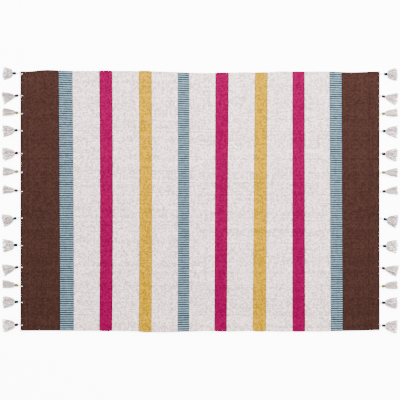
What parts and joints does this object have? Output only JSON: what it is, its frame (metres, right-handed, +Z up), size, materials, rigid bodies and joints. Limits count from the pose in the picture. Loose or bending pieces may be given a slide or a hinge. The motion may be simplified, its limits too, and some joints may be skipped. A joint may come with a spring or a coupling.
{
  "type": "bath mat",
  "caption": "Hand-woven flat cotton bath mat in brown, blue check, undyed, pink and mustard bands, with hemmed ends and a row of swinging tassels along each end.",
  "frame": {"origin": "The middle of the underside of the cloth, on the surface that the mat lies on.", "axes": "X runs along the warp, the long way of the mat; Y along the weft, the short way; Z up from the floor."},
  "size_m": [0.9156, 0.612, 0.0072],
  "materials": {
    "brown_cotton": "matte",
    "blue_check_cotton": "matte",
    "natural_cotton": "matte",
    "pink_cotton": "matte",
    "mustard_cotton": "matte",
    "warp_cotton": "matte",
    "brown_thread": "matte",
    "white_thread": "matte",
    "tassel_cotton": "matte",
    "teal_thread": "matte",
    "plum_thread": "matte",
    "ochre_thread": "matte"
  },
  "bodies": {
    "mat": {"brown_end_bands": "brown_cotton", "blue_check_bands": "blue_check_cotton", "natural_bands": "natural_cotton", "pink_stripes": "pink_cotton", "mustard_stripes": "mustard_cotton", "warp": "warp_cotton", "hem_seams": "brown_thread", "tassel_stitches": "white_thread"},
    "left_tassel_01": {"left_tassel_01": "tassel_cotton", "left_binding_01": "teal_thread"},
    "left_tassel_02": {"left_tassel_02": "tassel_cotton", "left_binding_02": "plum_thread"},
    "left_tassel_03": {"left_tassel_03": "tassel_cotton", "left_binding_03": "ochre_thread"},
    "left_tassel_04": {"left_tassel_04": "tassel_cotton", "left_binding_04": "teal_thread"},
    "left_tassel_05": {"left_tassel_05": "tassel_cotton", "left_binding_05": "plum_thread"},
    "left_tassel_06": {"left_tassel_06": "tassel_cotton", "left_binding_06": "ochre_thread"},
    "left_tassel_07": {"left_tassel_07": "tassel_cotton", "left_binding_07": "plum_thread"},
    "left_tassel_08": {"left_tassel_08": "tassel_cotton", "left_binding_08": "teal_thread"},
    "left_tassel_09": {"left_tassel_09": "tassel_cotton", "left_binding_09": "teal_thread"},
    "left_tassel_10": {"left_tassel_10": "tassel_cotton", "left_binding_10": "plum_thread"},
    "left_tassel_11": {"left_tassel_11": "tassel_cotton", "left_binding_11": "ochre_thread"},
    "left_tassel_12": {"left_tassel_12": "tassel_cotton", "left_binding_12": "teal_thread"},
    "left_tassel_13": {"left_tassel_13": "tassel_cotton", "left_binding_13": "plum_thread"},
    "right_tassel_01": {"right_tassel_01": "tassel_cotton", "right_binding_01": "teal_thread"},
    "right_tassel_02": {"right_tassel_02": "tassel_cotton", "right_binding_02": "plum_thread"},
    "right_tassel_03": {"right_tassel_03": "tassel_cotton", "right_binding_03": "ochre_thread"},
    "right_tassel_04": {"right_tassel_04": "tassel_cotton", "right_binding_04": "teal_thread"},
    "right_tassel_05": {"right_tassel_05": "tassel_cotton", "right_binding_05": "plum_thread"},
    "right_tassel_06": {"right_tassel_06": "tassel_cotton", "right_binding_06": "ochre_thread"},
    "right_tassel_07": {"right_tassel_07": "tassel_cotton", "right_binding_07": "plum_thread"},
    "right_tassel_08": {"right_tassel_08": "tassel_cotton", "right_binding_08": "teal_thread"},
    "right_tassel_09": {"right_tassel_09": "tassel_cotton", "right_binding_09": "teal_thread"},
    "right_tassel_10": {"right_tassel_10": "tassel_cotton", "right_binding_10": "plum_thread"},
    "right_tassel_11": {"right_tassel_11": "tassel_cotton", "right_binding_11": "ochre_thread"},
    "right_tassel_12": {"right_tassel_12": "tassel_cotton", "right_binding_12": "teal_thread"},
    "right_tassel_13": {"right_tassel_13": "tassel_cotton", "right_binding_13": "plum_thread"}
  },
  "joints": [
    {"name": "left_tassel_01_lift", "type": "hinge", "parent": "mat", "child": "left_tassel_01", "pos_m": [-0.41695, 0.2955, 0.0036], "axis": [0, 1, 0], "range_deg": [0, 60]},
    {"name": "left_tassel_02_lift", "type": "hinge", "parent": "mat", "child": "left_tassel_02", "pos_m": [-0.41695, 0.24508, 0.0036], "axis": [0, 1, 0], "range_deg": [0, 60]},
    {"name": "left_tassel_03_lift", "type": "hinge", "parent": "mat", "child": "left_tassel_03", "pos_m": [-0.41695, 0.20367, 0.0036], "axis": [0, 1, 0], "range_deg": [0, 60]},
    {"name": "left_tassel_04_lift", "type": "hinge", "parent": "mat", "child": "left_tassel_04", "pos_m": [-0.41695, 0.16425, 0.0036], "axis": [0, 1, 0], "range_deg": [0, 60]},
    {"name": "left_tassel_05_lift", "type": "hinge", "parent": "mat", "child": "left_tassel_05", "pos_m": [-0.41695, 0.11183, 0.0036], "axis": [0, 1, 0], "range_deg": [0, 60]},
    {"name": "left_tassel_06_lift", "type": "hinge", "parent": "mat", "child": "left_tassel_06", "pos_m": [-0.41695, 0.06842, 0.0036], "axis": [0, 1, 0], "range_deg": [0, 60]},
    {"name": "left_tassel_07_lift", "type": "hinge", "parent": "mat", "child": "left_tassel_07", "pos_m": [-0.41695, 0.024, 0.0036], "axis": [0, 1, 0], "range_deg": [0, 60]},
    {"name": "left_tassel_08_lift", "type": "hinge", "parent": "mat", "child": "left_tassel_08", "pos_m": [-0.41695, -0.03742, 0.0036], "axis": [0, 1, 0], "range_deg": [0, 60]},
    {"name": "left_tassel_09_lift", "type": "hinge", "parent": "mat", "child": "left_tassel_09", "pos_m": [-0.41695, -0.10083, 0.0036], "axis": [0, 1, 0], "range_deg": [0, 60]},
    {"name": "left_tassel_10_lift", "type": "hinge", "parent": "mat", "child": "left_tassel_10", "pos_m": [-0.41695, -0.15125, 0.0036], "axis": [0, 1, 0], "range_deg": [0, 60]},
    {"name": "left_tassel_11_lift", "type": "hinge", "parent": "mat", "child": "left_tassel_11", "pos_m": [-0.41695, -0.19467, 0.0036], "axis": [0, 1, 0], "range_deg": [0, 60]},
    {"name": "left_tassel_12_lift", "type": "hinge", "parent": "mat", "child": "left_tassel_12", "pos_m": [-0.41695, -0.23208, 0.0036], "axis": [0, 1, 0], "range_deg": [0, 60]},
    {"name": "left_tassel_13_lift", "type": "hinge", "parent": "mat", "child": "left_tassel_13", "pos_m": [-0.41695, -0.2845, 0.0036], "axis": [0, 1, 0], "range_deg": [0, 60]},
    {"name": "right_tassel_01_lift", "type": "hinge", "parent": "mat", "child": "right_tassel_01", "pos_m": [0.41695, 0.2935, 0.0036], "axis": [0, -1, 0], "range_deg": [0, 80]},
    {"name": "right_tassel_02_lift", "type": "hinge", "parent": "mat", "child": "right_tassel_02", "pos_m": [0.41695, 0.24308, 0.0036], "axis": [0, -1, 0], "range_deg": [0, 80]},
    {"name": "right_tassel_03_lift", "type": "hinge", "parent": "mat", "child": "right_tassel_03", "pos_m": [0.41695, 0.20167, 0.0036], "axis": [0, -1, 0], "range_deg": [0, 80]},
    {"name": "right_tassel_04_lift", "type": "hinge", "parent": "mat", "child": "right_tassel_04", "pos_m": [0.41695, 0.16225, 0.0036], "axis": [0, -1, 0], "range_deg": [0, 80]},
    {"name": "right_tassel_05_lift", "type": "hinge", "parent": "mat", "child": "right_tassel_05", "pos_m": [0.41695, 0.10983, 0.0036], "axis": [0, -1, 0], "range_deg": [0, 80]},
    {"name": "right_tassel_06_lift", "type": "hinge", "parent": "mat", "child": "right_tassel_06", "pos_m": [0.41695, 0.06642, 0.0036], "axis": [0, -1, 0], "range_deg": [0, 80]},
    {"name": "right_tassel_07_lift", "type": "hinge", "parent": "mat", "child": "right_tassel_07", "pos_m": [0.41695, 0.022, 0.0036], "axis": [0, -1, 0], "range_deg": [0, 80]},
    {"name": "right_tassel_08_lift", "type": "hinge", "parent": "mat", "child": "right_tassel_08", "pos_m": [0.41695, -0.03942, 0.0036], "axis": [0, -1, 0], "range_deg": [0, 80]},
    {"name": "right_tassel_09_lift", "type": "hinge", "parent": "mat", "child": "right_tassel_09", "pos_m": [0.41695, -0.10283, 0.0036], "axis": [0, -1, 0], "range_deg": [0, 80]},
    {"name": "right_tassel_10_lift", "type": "hinge", "parent": "mat", "child": "right_tassel_10", "pos_m": [0.41695, -0.15325, 0.0036], "axis": [0, -1, 0], "range_deg": [0, 80]},
    {"name": "right_tassel_11_lift", "type": "hinge", "parent": "mat", "child": "right_tassel_11", "pos_m": [0.41695, -0.19667, 0.0036], "axis": [0, -1, 0], "range_deg": [0, 80]},
    {"name": "right_tassel_12_lift", "type": "hinge", "parent": "mat", "child": "right_tassel_12", "pos_m": [0.41695, -0.23408, 0.0036], "axis": [0, -1, 0], "range_deg": [0, 80]},
    {"name": "right_tassel_13_lift", "type": "hinge", "parent": "mat", "child": "right_tassel_13", "pos_m": [0.41695, -0.2865, 0.0036], "axis": [0, -1, 0], "range_deg": [0, 80]}
  ]
}
